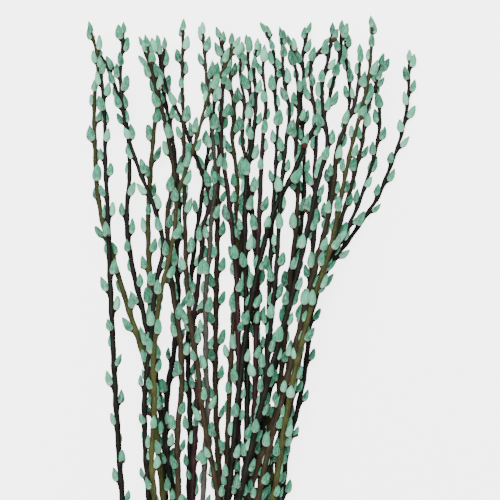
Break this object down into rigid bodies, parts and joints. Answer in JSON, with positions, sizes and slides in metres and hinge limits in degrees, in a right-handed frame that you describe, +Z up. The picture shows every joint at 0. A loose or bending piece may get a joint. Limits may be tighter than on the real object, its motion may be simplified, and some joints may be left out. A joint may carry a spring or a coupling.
{
  "type": "bunch of willow branches",
  "caption": "Tied bunch of long cut willow branches with coloured catkin buds, lying down and fanning out from a twine binding.",
  "frame": {"origin": "middle of the bounding box at the bottom, on the surface that the bunch lies on", "axes": "+Y along the bunch from the cut ends to the tips, +X to the right, +Z up from the surface"},
  "size_m": [0.3332, 0.931, 0.0927],
  "materials": {
    "bark": "dry dark brown willow bark",
    "olive_bark": "dry olive willow bark",
    "grey_bark": "dry grey willow bark",
    "catkin": "dyed matt velvety catkin",
    "twine": "natural twisted jute"
  },
  "bodies": {
    "root": {"branch_01": "olive_bark", "branch_02": "bark", "branch_03": "bark", "branch_04": "bark", "branch_05": "olive_bark", "branch_06": "bark", "branch_07": "bark", "branch_08": "bark", "branch_09": "bark", "branch_10": "grey_bark", "branch_11": "bark", "branch_12": "olive_bark", "branch_13": "olive_bark", "branch_14": "bark", "branch_15": "bark", "branch_16": "bark", "branch_17": "bark", "branch_18": "bark", "branch_19": "bark", "branch_20": "bark", "branch_21": "bark", "branch_22": "bark", "branch_23": "bark", "branch_24": "bark", "branch_25": "olive_bark", "branch_26": "bark", "branch_27": "bark", "branch_28": "bark", "branch_29": "bark", "branch_30": "bark", "branch_31": "bark", "branch_32": "bark", "tie": "twine"}
  },
  "joints": []
}
